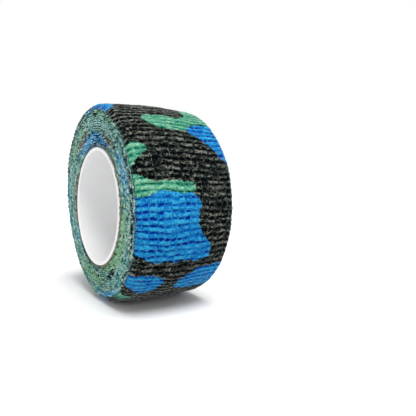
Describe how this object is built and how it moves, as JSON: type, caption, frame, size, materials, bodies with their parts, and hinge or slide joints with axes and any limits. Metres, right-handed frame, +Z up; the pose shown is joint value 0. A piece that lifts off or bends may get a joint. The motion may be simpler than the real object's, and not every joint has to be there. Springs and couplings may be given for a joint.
{
  "type": "roll of self-gripping stretch wrap tape",
  "caption": "Roll of crinkled, stretchy, self-gripping fabric wrap tape with a camouflage print, wound on a white plastic core; its free end peels up.",
  "frame": {"origin": "on the core's axis, at the middle of the tape's width", "axes": "+Y along the core's axis, +Z up with the roll standing on its edge; the free end lies on the -X side and the tape winds outwards from +X through +Z"},
  "size_m": [0.0499, 0.025, 0.0495],
  "materials": {
    "core": "smooth moulded white plastic, satin to glossy",
    "facing": "crinkled nonwoven, printed blue, grey-green and charcoal, matte and slightly tacky",
    "backing": "thin crinkled nonwoven, grey, matte",
    "yarn": "thin covered elastic yarn, matte"
  },
  "bodies": {
    "roll": {"core_tube": "core", "facing_web": "facing", "backing_web": "backing", "elastic_yarns": "yarn"},
    "tail_root": {"tail_root_facing_web": "facing", "tail_root_backing_web": "backing", "tail_root_elastic_yarns": "yarn"},
    "tail_middle": {"tail_middle_facing_web": "facing", "tail_middle_backing_web": "backing", "tail_middle_elastic_yarns": "yarn"},
    "tail_tip": {"tail_tip_facing_web": "facing", "tail_tip_backing_web": "backing", "tail_tip_elastic_yarns": "yarn"}
  },
  "joints": [
    {"name": "tail_root_peel", "type": "hinge", "parent": "roll", "child": "tail_root", "pos_m": [-0.00649, 0, 0.02465], "axis": [0, 1, 0], "range_deg": [0, 40]},
    {"name": "tail_middle_peel", "type": "hinge", "parent": "tail_root", "child": "tail_middle", "pos_m": [-0.01612, 0, 0.01963], "axis": [0, 1, 0], "range_deg": [0, 40]},
    {"name": "tail_tip_peel", "type": "hinge", "parent": "tail_middle", "child": "tail_tip", "pos_m": [-0.02273, 0, 0.01102], "axis": [0, 1, 0], "range_deg": [0, 60]}
  ]
}
